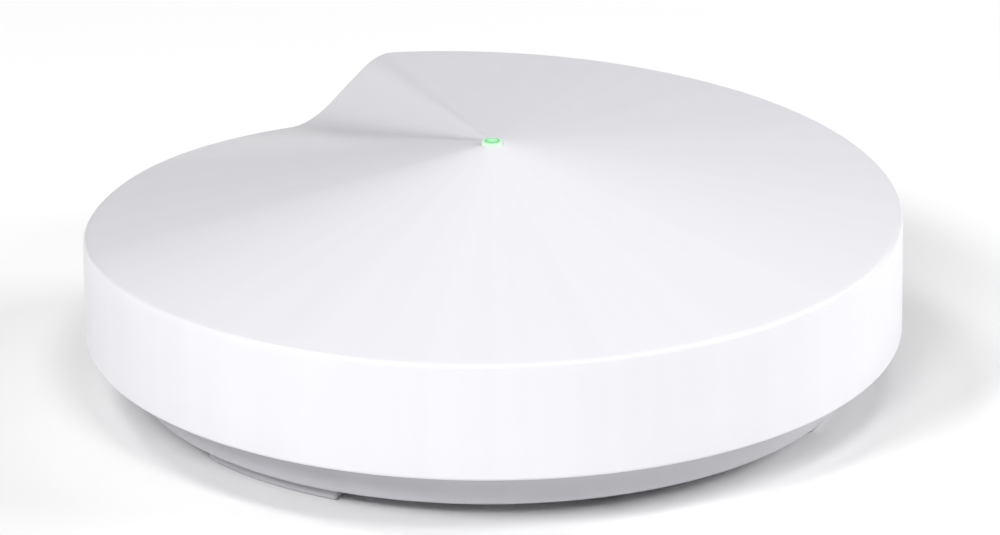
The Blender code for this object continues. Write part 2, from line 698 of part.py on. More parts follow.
def make_heatsink():
    """Extruded comb of fins, with a hole in its middle for the light pipe."""
    outline = [(-HEATSINK_HALF_WIDTH, HEATSINK_BOTTOM), (HEATSINK_HALF_WIDTH, HEATSINK_BOTTOM)]
    for number in reversed(range(FIN_COUNT)):
        left = -HEATSINK_HALF_WIDTH + number * fin_pitch()
        right = left + FIN_THICKNESS
        if number < FIN_COUNT - 1:
            outline.append((right, HEATSINK_PLATE_TOP))
        outline += [(right, HEATSINK_TOP), (left, HEATSINK_TOP)]
        if number > 0:
            outline.append((left, HEATSINK_PLATE_TOP))
    heatsink = outline_plate("heatsink", outline, HEATSINK_BACK - HEATSINK_FRONT)
    heatsink.data.transform(Matrix.Rotation(math.radians(90.0), 4, "X"))
    heatsink.location.y = HEATSINK_BACK
    z_range = (HEATSINK_BOTTOM - MM, HEATSINK_TOP + MM)
    cut(heatsink, cylinder("pipe_hole", (0.0, 0.0), 5.2 * MM, z_range, 32))
    for centre in heatsink_pin_centres():
        cut(heatsink, cylinder("plate_pin_hole", centre, 1.3 * MM, z_range, 20))
    make_part(heatsink, "aluminium")


def make_heatsink_pins():
    head_low = HEATSINK_PLATE_TOP + GAP
    profile = [(0.0, head_low + 1.0 * MM), (1.4 * MM, head_low + 1.0 * MM), (1.7 * MM, head_low + 0.6 * MM),
               (1.7 * MM, head_low), (1.0 * MM, head_low), (1.0 * MM, 6.2 * MM),
               (0.6 * MM, 5.7 * MM), (0.0, 5.7 * MM)]
    for index, centre in enumerate(heatsink_pin_centres(), start=1):
        pin = turned(f"heatsink_pin_{index}", profile, 20)
        pin.location = (*centre, 0.0)
        make_part(pin, "dark_plastic", round_piece=True)


def make_chips():
    """Packages on the board: name, centre, size and finish."""
    chips = [
        ("processor", (-13.75, 0.5), (11.0, 11.0, 1.1), "chip_black"),
        ("memory_chip", (-13.75, -13.5), (8.0, 12.0, 1.0), "chip_black"),
        ("radio_chip_1", (13.75, 1.0), (7.0, 7.0, 0.9), "chip_black"),
        ("radio_chip_2", (13.75, -13.0), (8.0, 8.0, 0.9), "chip_black"),
        ("flash_chip", (-10.0, -33.0), (6.0, 5.0, 1.5), "chip_black"),
        ("switch_chip", (5.0, 16.2), (6.0, 6.0, 0.9), "chip_black"),
        ("lan_transformer_1", (13.5, 23.5), (12.0, 6.4, 4.0), "chip_black"),
        ("lan_transformer_2", (-3.3, 23.5), (12.0, 6.4, 4.0), "chip_black"),
        ("power_inductor", (-17.5, 31.0), (7.0, 7.0, 3.5), "frame_plastic"),
        ("crystal", (8.0, -32.0), (3.2, 2.5, 0.8), "shield_tin"),
        ("bluetooth_antenna", (12.5, -46.0), (5.0, 2.0, 1.0), "ceramic"),
    ]
    for name, centre, size, finish in chips:
        centre_m = [value * MM for value in centre]
        size_m = [value * MM for value in size]
        chip = standing_block(name, centre_m, size_m)
        soften(chip, 0.12 * MM)
        make_part(chip, finish)


def make_capacitors():
    for index, x in enumerate((-26.5 * MM, -17.5 * MM), start=1):
        low = ON_BOARD
        high = low + 5.4 * MM
        profile = [(0.0, high), (2.8 * MM, high), (3.1 * MM, high - 0.3 * MM), (3.1 * MM, low + 1.2 * MM),
                   (2.9 * MM, low + MM), (3.1 * MM, low + 0.8 * MM), (3.1 * MM, low), (0.0, low)]
        capacitor = turned(f"capacitor_{index}", profile, 24)
        capacitor.location = (x, 20.0 * MM, 0.0)
        make_part(capacitor, "aluminium", round_piece=True)


# ---------------------------------------------------------------- indicator

def make_indicator():
    roof = top_height(LENS_RADIUS + 1.6 * MM, rim_height(STEP_FOOT_ANGLE)) - COVER_WALL
    flange_top = roof - GAP
    pipe_bottom = 10.9 * MM
    profile = [(0.0, LENS_TOP), (0.6 * LENS_RADIUS, LENS_TOP - 0.2 * LENS_DOME),
               (0.87 * LENS_RADIUS, LENS_TOP - 0.5 * LENS_DOME),
               (LENS_RADIUS, LENS_TOP - LENS_DOME), (LENS_RADIUS, flange_top),
               (3.4 * MM, flange_top), (3.4 * MM, flange_top - MM), (PIPE_RADIUS, flange_top - MM),
               (PIPE_RADIUS, pipe_bottom), (0.0, pipe_bottom)]
    make_part(turned("light_pipe", profile, 32), "clear_acrylic", round_piece=True)
    led = standing_block("status_led", (0.0, 0.0), (3.5 * MM, 2.8 * MM, 1.3 * MM))
    soften(led, 0.15 * MM)
    make_part(led, "led_white")
    low = ON_BOARD
    high = low + 1.8 * MM
    ring = [(2.6 * MM, high), (4.6 * MM, high), (4.6 * MM, low), (2.6 * MM, low)]
    make_part(turned("light_seal", ring, 32, closed=True), "black_foam", round_piece=True)


# ---------------------------------------------------------------- aerials

def cable_route(start, start_pull, end_pull, end, count=14):
    """Points of a smooth curve that leaves start and reaches end in the pulled directions."""
    points = []
    for number in range(count):
        t = number / (count - 1)
        weights = ((1 - t) ** 3, 3 * t * (1 - t) ** 2, 3 * t ** 2 * (1 - t), t ** 3)
        point = Vector((0.0, 0.0, 0.0))
        for weight, corner in zip(weights, (start, start_pull, end_pull, end)):
            point += weight * Vector(corner)
        points.append(point)
    return points


def make_aerials():
    frame = ring_sector("antenna_frame", (FRAME_INNER_RADIUS, FRAME_OUTER_RADIUS), FRAME_ENDS,
                        (ON_BOARD, FRAME_TOP), step=4.0)
    make_part(frame, "frame_plastic")
    outer = FRAME_INNER_RADIUS - GAP
    inner = outer - ANTENNA_THICKNESS
    for index, angle in enumerate(ANTENNA_ANGLES, start=1):
        arc = (angle - ANTENNA_HALF_ARC, angle + ANTENNA_HALF_ARC)
        antenna = ring_sector(f"antenna_{index}", (inner, outer), arc, (ANTENNA_BOTTOM, ANTENNA_TOP))
        make_part(antenna, "copper")
        socket_xy = polar(AERIAL_SOCKET_RADIUS, angle + SOCKET_TURN)
        socket_top = ON_BOARD + 1.3 * MM
        socket = cylinder(f"antenna_socket_{index}", socket_xy, 1.4 * MM, (ON_BOARD, socket_top), 24)
        make_part(socket, "gold", round_piece=True)
        solder_radius = inner - GAP
        start = (*polar(solder_radius, angle), 15.0 * MM)
        start_pull = (*polar(solder_radius - 4.0 * MM, angle), 15.0 * MM)
        end = (*socket_xy, socket_top + GAP)
        end_pull = (*socket_xy, socket_top + 4.5 * MM)
        route = cable_route(start, start_pull, end_pull, end)
        make_part(wire(f"antenna_cable_{index}", route, CABLE_RADIUS), "dark_plastic")


# ---------------------------------------------------------------- reset button

def make_reset():
    """A plunger in the floor, which pushes the stem of a switch under the board."""
    flange_low = FLOOR_TOP + GAP
    flange_high = flange_low + 0.5 * MM
    pin_low = FLOOR_BOTTOM + GAP
    plunger = turned("reset_button", [
        (0.0, flange_high), (2.0 * MM, flange_high), (2.0 * MM, flange_low),
        (RESET_PIN_RADIUS, flange_low), (RESET_PIN_RADIUS, pin_low), (0.0, pin_low)], 24)
    plunger.location = (RESET_X, RESET_Y, 0.0)
    make_part(plunger, "grey_plastic", round_piece=True)

    stem_low = flange_high + GAP
    stem_high = stem_low + 0.8 * MM
    stem = cylinder("reset_switch_stem", (RESET_X, RESET_Y), 0.8 * MM, (stem_low, stem_high), 24)
    make_part(stem, "dark_plastic", round_piece=True)

    body_low = stem_low + GAP
    body_high = BOARD_BOTTOM - GAP
    body = standing_block("reset_switch", (RESET_X, RESET_Y), (4.5 * MM, 4.5 * MM, body_high - body_low),
                          body_low)
    bore_top = stem_high + RESET_TRAVEL + 0.2 * MM
    cut(body, cylinder("stem_bore", (RESET_X, RESET_Y), 1.1 * MM, (body_low - MM, bore_top), 24))
    make_part(body, "shield_tin")


def main():
    make_cover()
    make_base()
    make_feet()
    make_label()
    make_screws()
    make_bezel()
    for index, centre in enumerate(JACK_CENTRES, start=1):
        make_jack(index, centre)
        make_contacts(index, centre)
    make_power_inlet()
    make_board()
    make_shields()
    make_heatsink()
    make_heatsink_pins()
    make_chips()
    make_capacitors()
    make_indicator()
    make_aerials()
    make_reset()


main()
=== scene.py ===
"""Looks of the mesh wifi node: fine meshes and procedural materials around the CAD frame."""

import json
import math

import bmesh
import bpy
from mathutils import Matrix, Vector


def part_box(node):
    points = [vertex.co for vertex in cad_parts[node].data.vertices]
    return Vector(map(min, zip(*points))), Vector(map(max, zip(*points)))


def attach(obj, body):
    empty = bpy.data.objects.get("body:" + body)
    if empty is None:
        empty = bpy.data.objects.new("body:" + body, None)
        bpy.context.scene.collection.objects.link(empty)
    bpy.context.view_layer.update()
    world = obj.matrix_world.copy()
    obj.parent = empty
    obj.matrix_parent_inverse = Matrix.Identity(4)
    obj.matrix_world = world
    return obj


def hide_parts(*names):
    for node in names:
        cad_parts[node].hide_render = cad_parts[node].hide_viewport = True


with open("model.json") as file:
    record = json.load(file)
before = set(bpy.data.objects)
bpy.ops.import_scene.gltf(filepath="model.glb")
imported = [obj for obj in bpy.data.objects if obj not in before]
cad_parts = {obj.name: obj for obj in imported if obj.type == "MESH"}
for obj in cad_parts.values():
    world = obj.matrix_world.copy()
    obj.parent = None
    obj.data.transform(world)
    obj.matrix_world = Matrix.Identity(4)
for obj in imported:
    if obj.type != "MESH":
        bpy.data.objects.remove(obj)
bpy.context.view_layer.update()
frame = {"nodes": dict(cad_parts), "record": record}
NODES = frame["nodes"]
MM = 0.001
# Clearance between neighbouring pieces, and the angle of the side that the sockets are on.
GAP = 0.3 * MM
REAR_ANGLE = 90.0
# Edges that turn more than this many degrees stay sharp, on the two shells and on small pieces.
SHELL_SHARP_ANGLE = 28.0
SMALL_SHARP_ANGLE = 35.0

# Cover. Its screw bosses reach below its edge, so the edge isn't the bottom of its CAD box.
COVER_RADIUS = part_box("top_cover")[1].x
COVER_EDGE_HEIGHT = 8.8 * MM
COVER_WALL = 2.0 * MM
COVER_COLUMNS = 720
APEX_HEIGHT = 37.8 * MM
RIM_ROUNDING = 0.75 * MM
EDGE_ROUNDING = 0.6 * MM
INNER_EDGE_ROUNDING = 0.2 * MM
LIP_ROUNDING = 0.25 * MM
NOTCH_ROUNDING = 2.2 * MM
# Radii in millimetres of the rings that the top's straight lines are divided at.
TOP_RINGS = [2.4, 3.2, 4.5, 6.5, 9.0, 12.0, 16.0, 21.0, 26.0, 31.0, 36.0, 41.0, 46.0, 51.0, 55.0, 58.0]
# The step in the rim, from its crest down to its foot, and how far round each is rounded, in degrees.
STEP_CREST_ANGLE = 85.3
STEP_FOOT_ANGLE = 95.9
CREST_ROUNDING = 2.2
FOOT_ROUNDING = 3.6
# Rim height in millimetres at angles counted from the foot of the step round to its crest.
RIM_CLIMB = [(0.0, 20.9), (28.0, 22.4), (54.0, 23.3), (84.0, 25.4), (119.0, 26.2),
             (174.0, 26.5), (244.0, 26.7), (294.0, 28.2), (324.0, 29.6), (349.4, 30.9)]
LENS_HOLE_RADIUS = 1.6 * MM
LENS_RADIUS = 1.45 * MM
LENS_DOME = 0.3 * MM
PIPE_RADIUS = 2.0 * MM
PIPE_FLANGE_RADIUS = 3.4 * MM
PIPE_FLANGE_THICKNESS = 1.0 * MM
PIPE_ROOF_RADIUS = 3.05 * MM

# Base and feet
FLOOR_BOTTOM = 2.2 * MM
FLOOR_TOP = 4.0 * MM
BASE_BOTTOM_RADIUS = 52.9 * MM
BASE_TOP_RADIUS = 54.3 * MM
BASE_WALL = 1.6 * MM
BASE_ROUNDING = 0.8 * MM
FLOOR_FILLET = 0.5 * MM
FLANGE_RADIUS = 57.6 * MM
FLANGE_BOTTOM = 9.2 * MM
FLANGE_BOTTOM_ROUNDING = 0.2 * MM
FLANGE_TOP = 10.7 * MM
FLANGE_TOP_ROUNDING = 0.3 * MM
UNDER_FLANGE_FILLET = 0.4 * MM
BASE_COLUMNS = 432
VENT_COUNT = 30
VENT_SIZE = (1.5 * MM, 5.0 * MM, 4.0 * MM)
VENT_ROUNDING = 0.6 * MM
VENT_RADIUS = 56.0 * MM
VENT_FREE_ARC = 35.0
FOOT_ANGLES = [88.0, 208.0, 328.0]
FOOT_HALF_ARC = 14.0
FOOT_INNER_RADIUS = 44.2 * MM
FOOT_OUTER_RADIUS = 50.8 * MM
RUBBER_ROUNDING = 0.45 * MM
POCKET_TOP = 3.0 * MM
POCKET_END_GAP = 0.35
LABEL_RADIUS = 22.3 * MM
LABEL_RECESS = 0.35 * MM
LABEL_EDGE_ROUNDING = 0.2 * MM
LABEL_BORDER_RADIUS = 20.4 * MM
LABEL_BORDER_HALF_WIDTH = 0.15 * MM
# How far the countersunk cutters, and those of the foot pockets, reach below the base's floor.
MOUTH_OFFSET = 0.35 * MM
POCKET_OFFSET = 1.2 * MM

# Screws and reset button. A hole or counterbore is its radius and its top, a range is in height.
CASE_SCREW_RADIUS = 45.5 * MM
CASE_SCREW_ANGLES = [28.0, 148.0, 268.0]
CASE_PAD_RADIUS = 5.2 * MM
CASE_PAD_RANGE = (3.4 * MM, 5.3 * MM)
CASE_HOLE = (1.65 * MM, 6.0 * MM)
CASE_COUNTERBORE = (3.2 * MM, 3.9 * MM)
CASE_MOUTH_RADIUS = 3.9 * MM
CASE_BOSS_RADIUS = 3.0 * MM
CASE_BOSS_BOTTOM = 5.6 * MM
CASE_PILOT_RADIUS = 1.6 * MM
CASE_PILOT_TOP = 14.5 * MM
BOARD_SCREW_RADIUS = 42.0 * MM
BOARD_SCREW_ANGLES = [50.0, 170.0, 290.0]
BOARD_BOSS_RADIUS = 2.8 * MM
BOARD_BOSS_RANGE = (3.4 * MM, 6.7 * MM)
BOARD_PILOT_RADIUS = 1.35 * MM
BOARD_PILOT_BOTTOM = 4.6 * MM
RESET_CENTRE = (26.0 * MM, -18.0 * MM)
RESET_HOLE = (1.2 * MM, 5.0 * MM)
RESET_MOUTH_RADIUS = 1.9 * MM

# Sockets
PLATE_FRONT = 48.3 * MM
PLATE_BACK = 46.8 * MM
RECESS_HALF_WIDTH = 23.3 * MM
RECESS_ROOF = 17.0 * MM
RECESS_ROUNDING = 2.0 * MM
BEZEL_WALL = 1.2 * MM
BEZEL_RADIUS = 57.6 * MM
BEZEL_ROUNDING = 0.22 * MM
SOCKET_BEVEL_ANGLE = 50.0
CHEEK_BOTTOM = 9.1 * MM
REAR = 62.0 * MM
JACK_CENTRES = [13.5 * MM, -3.3 * MM]
JACK_HEIGHT = 10.9 * MM
JACK_HALF = (6.2 * MM, 5.1 * MM)
JACK_ROUNDING = 0.5 * MM
CONTACT_COUNT = 8
CONTACT_PITCH = 1.02 * MM
CONTACT_WIRE_RADIUS = 0.2 * MM
POWER_PLACE = (-17.5 * MM, 10.53 * MM)
POWER_HALF = (4.47 * MM, 1.63 * MM)
POWER_ROUNDING = 1.9 * MM
POWER_SHEET = 0.3 * MM
POWER_BACK_WALL = 1.2 * MM
POWER_EDGE_ROUNDING = 0.07 * MM

# Camera: angles in degrees, distance in metres, lens and sensor in millimetres
CAMERA_AZIMUTH = -21.5
CAMERA_ELEVATION = 21.2
CAMERA_DISTANCE = 1.42
CAMERA_LENS = 348.5
CAMERA_SENSOR = 36.0
CAMERA_FAR_END = 50.0
CAMERA_ROLL = -0.4
AIM_HEIGHT = 18.0 * MM
AIM_RIGHT = 1.0 * MM

# Light: sizes and distances in metres. A softbox is its name, its azimuth and elevation in
# degrees, and its power in watts.
LIGHT_DISTANCE = 2.0
LIGHT_SIZE = 0.6
SOFTBOXES = [
    ("front_left", -65.0, 38.0, 18.6),
    ("front", -35.0, 38.0, 10.5),
    ("high_front", 0.0, 62.0, 8.8),
    ("high_back_left", -120.0, 62.0, 8.7),
    ("low_front_right", 60.0, 26.0, 11.5),
    ("low_right", 90.0, 23.0, 18.5),
]
AMBIENT = 0.02
FLOOR_HALF_SIZE = 12.0

# Places of the colour sockets on Blender's Mix node, whose names repeat for each data type
MIX_FACTOR, MIX_FIRST, MIX_SECOND, MIX_RESULT = 0, 6, 7, 2


# ---------------------------------------------------------------- mesh helpers

def polar(radius, angle):
    turn = math.radians(angle)
    return radius * math.cos(turn), radius * math.sin(turn)


def wrapped(angle):
    """The same angle, between -180 and 180 degrees."""
    return (angle + 180.0) % 360.0 - 180.0


def link(obj):
    bpy.context.scene.collection.objects.link(obj)
    return obj


def mesh_object(name, vertices, faces):
    mesh = bpy.data.meshes.new(name)
    mesh.from_pydata(vertices, [], faces)
    mesh.update()
    return link(bpy.data.objects.new(name, mesh))


def turned(name, section_at, columns):
    """A closed ring of sections: section_at(angle) gives the (radius, height) points of one."""
    vertices = []
    for column in range(columns):
        angle = 360.0 * column / columns
        for radius, height in section_at(angle):
            vertices.append((*polar(radius, angle), height))
    count = len(vertices) // columns
    faces = []
    for column in range(columns):
        here = column * count
        there = (column + 1) % columns * count
        for row in range(count):
            below = (row + 1) % count
            faces.append((here + row, here + below, there + below, there + row))
    return mesh_object(name, vertices, faces)


def lathe(name, profile, columns):
    """A solid turned from a profile whose two ends lie on the axis."""
    obj = turned(name, lambda angle: profile, columns)
    mesh_data = bmesh.new()
    mesh_data.from_mesh(obj.data)
    bmesh.ops.remove_doubles(mesh_data, verts=mesh_data.verts, dist=0.002 * MM)
    # Closing the section along the axis leaves an edge there that no face uses.
    loose = [edge for edge in mesh_data.edges if not edge.link_faces]
    bmesh.ops.delete(mesh_data, geom=loose, context="EDGES")
    mesh_data.to_mesh(obj.data)
    mesh_data.free()
    return obj


def arc(centre, radius, start, end, count):
    """Points (radius, height) along an arc of a section."""
    points = []
    for number in range(count + 1):
        x, y = polar(radius, start + (end - start) * number / count)
        points.append((centre[0] + x, centre[1] + y))
    return points


def corner(start, tip, end, count):
    """Points of a smooth corner from start to end that turns at tip."""
    points = []
    for number in range(count + 1):
        t = number / count
        weights = ((1 - t) ** 2, 2 * t * (1 - t), t ** 2)
        points.append(tuple(
            sum(weight * point[axis] for weight, point in zip(weights, (start, tip, end)))
            for axis in range(2)))
    return points


def prism(name, outline, low, high):
    """An upright solid over a closed outline that runs anticlockwise."""
    count = len(outline)
    vertices = [(x, y, low) for x, y in outline] + [(x, y, high) for x, y in outline]
    faces = [tuple(reversed(range(count))), tuple(range(count, 2 * count))]
    for number in range(count):
        after = (number + 1) % count
        faces.append((number, after, count + after, count + number))
    return mesh_object(name, vertices, faces)


def box(name, x_range, y_range, z_range):
    outline = [(x_range[0], y_range[0]), (x_range[1], y_range[0]),
               (x_range[1], y_range[1]), (x_range[0], y_range[1])]
    return prism(name, outline, *z_range)


def disc_outline(centre, radius, count=48):
    points = []
    for number in range(count):
        x, y = polar(radius, 360.0 * number / count)
        points.append((centre[0] + x, centre[1] + y))
    return points


def rounded_outline(half_width, half_height, radius, count=8):
    """A rectangle with round corners about the origin."""
    points = []
    corners = ((1, -1, -90.0), (1, 1, 0.0), (-1, 1, 90.0), (-1, -1, 180.0))
    for side_x, side_y, start in corners:
        centre = (side_x * (half_width - radius), side_y * (half_height - radius))
        points += arc(centre, radius, start, start + 90.0, count)
    return points


def rear_bar(name, centre, half_size, rounding, y_range):
    """A bar along Y with a rounded section: centre is (x, z), half_size (half width, half height)."""
    bar = prism(name, rounded_outline(*half_size, rounding), 0.0, y_range[1] - y_range[0])
    bar.data.transform(Matrix.Rotation(math.radians(90.0), 4, "X"))
    bar.data.transform(Matrix.Translation((centre[0], y_range[1], centre[1])))
    return bar


def sector_outline(inner, outer, start, end, count=28):
    """A piece of a ring between two radii and two angles."""
    turns = [start + (end - start) * number / count for number in range(count + 1)]
    return [polar(outer, turn) for turn in turns] + [polar(inner, turn) for turn in reversed(turns)]


def evaluated_mesh(obj):
    depsgraph = bpy.context.evaluated_depsgraph_get()
    return bpy.data.meshes.new_from_object(obj.evaluated_get(depsgraph))


def carve(obj, cutters, operation="DIFFERENCE"):
    """Cut the cutters out of a piece, or join them to it, one after another."""
    for cutter in cutters:
        modifier = obj.modifiers.new("carve", "BOOLEAN")
        modifier.operation = operation
        modifier.solver = "EXACT"
        modifier.object = cutter
    bpy.context.view_layer.update()
    mesh = evaluated_mesh(obj)
    obj.modifiers.clear()
    obj.data = mesh
    for cutter in cutters:
        bpy.data.objects.remove(cutter, do_unlink=True)


def merge(name, objects):
    """Several meshes as one object."""
    mesh_data = bmesh.new()
    for obj in objects:
        obj.data.transform(obj.matrix_world)
        mesh_data.from_mesh(obj.data)
        bpy.data.objects.remove(obj, do_unlink=True)
    mesh = bpy.data.meshes.new(name)
    mesh_data.to_mesh(mesh)
    mesh_data.free()
    return link(bpy.data.objects.new(name, mesh))


def round_edges(obj, width, segments=3, angle=40.0):
    """Round the edges that turn more than an angle."""
    bevel = obj.modifiers.new("round", "BEVEL")
    bevel.width = width
    bevel.segments = segments
    bevel.limit_method = "ANGLE"
    bevel.angle_limit = math.radians(angle)
    bpy.context.view_layer.update()
    mesh = evaluated_mesh(obj)
    obj.modifiers.clear()
    obj.data = mesh


def smooth(obj, angle=32.0):
    """Shade a piece as round, apart from edges that turn more than an angle."""
    obj.data.shade_smooth()
    obj.data.set_sharp_from_angle(angle=math.radians(angle))
    return obj


def place(obj, body, slot, *nodes):
    """Let a finished piece ride on a body and stand for its CAD nodes."""
    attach(obj, body)
    if nodes:
        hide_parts(*nodes)


# ---------------------------------------------------------------- materials

class Surface:
    """A Principled material with nodes that all read the place on the object, in metres."""

    def __init__(self, name, roughness, metallic=0.0):
        self.material = bpy.data.materials.new(name)
        self.material.use_nodes = True
        self.tree = self.material.node_tree
        self.shader = self.tree.nodes["Principled BSDF"]
        self.shader.inputs["Roughness"].default_value = roughness
        self.shader.inputs["Metallic"].default_value = metallic
        self.place = self.tree.nodes.new("ShaderNodeTexCoord").outputs["Object"]

    def node(self, kind, **values):
        node = self.tree.nodes.new(kind)
        for key, value in values.items():
            setattr(node, key, value)
        return node

    def join(self, output, target):
        self.tree.links.new(output, target)

    def axis_distance(self):
        """Distance in metres from the object's upright axis."""
        flat = self.node("ShaderNodeVectorMath", operation="MULTIPLY")
        flat.inputs[1].default_value = (1.0, 1.0, 0.0)
        self.join(self.place, flat.inputs[0])
        length = self.node("ShaderNodeVectorMath", operation="LENGTH")
        self.join(flat.outputs["Vector"], length.inputs[0])
        return length.outputs["Value"]

    def noise(self, scale, detail, stretch=(1.0, 1.0, 1.0)):
        mapping = self.node("ShaderNodeMapping")
        mapping.inputs["Scale"].default_value = stretch
        self.join(self.place, mapping.inputs["Vector"])
        noise = self.node("ShaderNodeTexNoise")
        noise.inputs["Scale"].default_value = scale
        noise.inputs["Detail"].default_value = detail
        self.join(mapping.outputs["Vector"], noise.inputs["Vector"])
        return noise.outputs["Fac"]

    def remap(self, value, low, high, start=0.3, end=0.7):
        """Turn a value between start and end into one between low and high."""
        remap = self.node("ShaderNodeMapRange")
        remap.inputs["From Min"].default_value = start
        remap.inputs["From Max"].default_value = end
        remap.inputs["To Min"].default_value = low
        remap.inputs["To Max"].default_value = high
        self.join(value, remap.inputs["Value"])
        return remap.outputs["Result"]

    def blend(self, factor, first, second, mode="MIX"):
        """Mix of two colours, each a tuple or an output."""
        mix = self.node("ShaderNodeMix", data_type="RGBA", blend_type=mode)
        self.feed(mix.inputs[MIX_FACTOR], factor)
        self.feed(mix.inputs[MIX_FIRST], first)
        self.feed(mix.inputs[MIX_SECOND], second)
        return mix.outputs[MIX_RESULT]

    def feed(self, socket, value):
        """Give a socket an output, a colour or a number."""
        if isinstance(value, bpy.types.NodeSocket):
            self.join(value, socket)
        elif isinstance(value, tuple) and len(value) == 3:
            socket.default_value = (*value, 1.0)
        else:
            socket.default_value = value

    def colour(self, value):
        self.feed(self.shader.inputs["Base Color"], value)

    def roughness(self, value):
        self.join(value, self.shader.inputs["Roughness"])

    def bump(self, height, distance):
        bump = self.node("ShaderNodeBump")
        bump.inputs["Distance"].default_value = distance
        bump.inputs["Strength"].default_value = 1.0
        self.join(height, bump.inputs["Height"])
        self.join(bump.outputs["Normal"], self.shader.inputs["Normal"])

    def set(self, **values):
        for key, value in values.items():
            self.shader.inputs[key.replace("_", " ")].default_value = value


def shades(colour, spread):
    """A colour a little darker and a little lighter than the given one."""
    darker = tuple(channel * (1.0 - spread) for channel in colour)
    lighter = tuple(min(1.0, channel * (1.0 + spread)) for channel in colour)
    return darker, lighter


def moulded(name, colour, roughness, grain=2600.0, depth=0.006 * MM, spread=0.015, specular=0.5):
    """Moulded plastic or rubber: spark-eroded grain, soft cloudiness and uneven gloss."""
    surface = Surface(name, roughness)
    cloud = surface.noise(90.0, 2.0)
    surface.colour(surface.blend(cloud, *shades(colour, spread)))
    surface.roughness(surface.remap(surface.noise(400.0, 2.0), roughness * 0.93, roughness * 1.07))
    surface.bump(surface.noise(grain, 4.0), depth)
    surface.shader.inputs["Specular IOR Level"].default_value = specular
    return surface


def metal(name, colour, roughness, stretch=(1.0, 1.0, 1.0)):
    """Drawn, rolled or brushed metal: fine scratches along one direction and faint stains."""
    surface = Surface(name, roughness, 1.0)
    stains = surface.noise(160.0, 3.0)
    surface.colour(surface.blend(stains, *shades(colour, 0.06)))
    scratches = surface.noise(900.0, 5.0, stretch)
    surface.roughness(surface.remap(scratches, roughness * 0.75, roughness * 1.3))
    surface.bump(scratches, 0.003 * MM)
    return surface


def spiral_plastic():
    """White satin plastic of the cover, with faint streaks of painted shade that fan out from the apex."""
    surface = moulded("white_satin_plastic", (0.80, 0.794, 0.832), 0.32, 3200.0, 0.002 * MM, 0.006)
    plain = surface.shader.inputs["Base Color"].links[0].from_socket
    parts = surface.node("ShaderNodeSeparateXYZ")
    surface.join(surface.place, parts.inputs["Vector"])
    angle = surface.node("ShaderNodeMath", operation="ARCTAN2")
    surface.join(parts.outputs["Y"], angle.inputs[0])
    surface.join(parts.outputs["X"], angle.inputs[1])
    fan = surface.node("ShaderNodeTexNoise", noise_dimensions="1D")
    fan.inputs["Scale"].default_value = 9.0
    fan.inputs["Detail"].default_value = 3.0
    surface.join(angle.outputs[0], fan.inputs["W"])
    # Painted shade: streaks round the apex darken the colour by up to 1.5 %, for shading steps across the
    # top.
    painted_fan_shade = surface.remap(fan.outputs["Fac"], 0.985, 1.0, 0.35, 0.65)
    grey = surface.node("ShaderNodeCombineColor")
    for channel in range(3):
        surface.join(painted_fan_shade, grey.inputs[channel])
    surface.colour(surface.blend(1.0, plain, grey.outputs["Color"], "MULTIPLY"))
    return surface.material


def lens_glow():
    """Frosted lens lit green from below: pale middle, darker green ring, lip of glow and painted highlight.
    """
    surface = Surface("lit_lens", 0.22)
    radius = surface.remap(surface.axis_distance(), 0.0, 1.0, 0.0, LENS_RADIUS)
    ramp = surface.node("ShaderNodeValToRGB")
    # The two outer stops are the bright lip: partly the lit lens, partly a painted highlight at its edge.
    stops = [(0.0, (0.62, 1.0, 0.66)), (0.40, (0.52, 0.97, 0.58)), (0.68, (0.16, 0.60, 0.24)),
             (0.84, (0.52, 0.97, 0.60)), (1.0, (0.90, 1.0, 0.92))]
    while len(ramp.color_ramp.elements) < len(stops):
        ramp.color_ramp.elements.new(0.5)
    for element, (position, colour) in zip(ramp.color_ramp.elements, stops):
        element.position = position
        element.color = (*colour, 1.0)
    frost = surface.noise(2500.0, 3.0)
    surface.join(radius, ramp.inputs["Fac"])
    glow_and_painted_lip = surface.blend(surface.remap(frost, 0.0, 0.12), ramp.outputs["Color"], (1.0, 1.0, 1.0))
    surface.join(glow_and_painted_lip, surface.shader.inputs["Emission Color"])
    surface.set(Emission_Strength=0.75)
    surface.colour((0.08, 0.20, 0.10))
    surface.bump(frost, 0.004 * MM)
    return surface.material


def circuit_board():
    """Green solder mask over copper tracks, with a scatter of plated holes."""
    surface = Surface("solder_mask", 0.35)
    tracks = surface.node("ShaderNodeTexBrick")
    tracks.inputs["Scale"].default_value = 260.0
    tracks.inputs["Mortar Size"].default_value = 0.018
    tracks.inputs["Color1"].default_value = (0.012, 0.11, 0.045, 1.0)
    tracks.inputs["Color2"].default_value = (0.016, 0.14, 0.055, 1.0)
    tracks.inputs["Mortar"].default_value = (0.035, 0.22, 0.09, 1.0)
    surface.join(surface.place, tracks.inputs["Vector"])
    holes = surface.node("ShaderNodeTexVoronoi")
    holes.inputs["Scale"].default_value = 380.0
    surface.join(surface.place, holes.inputs["Vector"])
    hole = surface.remap(holes.outputs["Distance"], 1.0, 0.0, 0.10, 0.13)
    surface.colour(surface.blend(hole, tracks.outputs["Color"], (0.55, 0.42, 0.18)))
    surface.bump(tracks.outputs["Fac"], 0.01 * MM)
    return surface.material


def label_film():
    """Blank grey film with a thin printed border."""
    surface = Surface("label_film", 0.5)
    border = surface.node("ShaderNodeMath", operation="COMPARE")
    surface.join(surface.axis_distance(), border.inputs[0])
    border.inputs[1].default_value = LABEL_BORDER_RADIUS
    border.inputs[2].default_value = LABEL_BORDER_HALF_WIDTH
    film = surface.blend(surface.noise(700.0, 3.0), (0.60, 0.60, 0.61), (0.64, 0.64, 0.65))
    surface.colour(surface.blend(border.outputs[0], film, (0.30, 0.30, 0.31)))
    surface.bump(surface.noise(1800.0, 3.0), 0.002 * MM)
    return surface.material


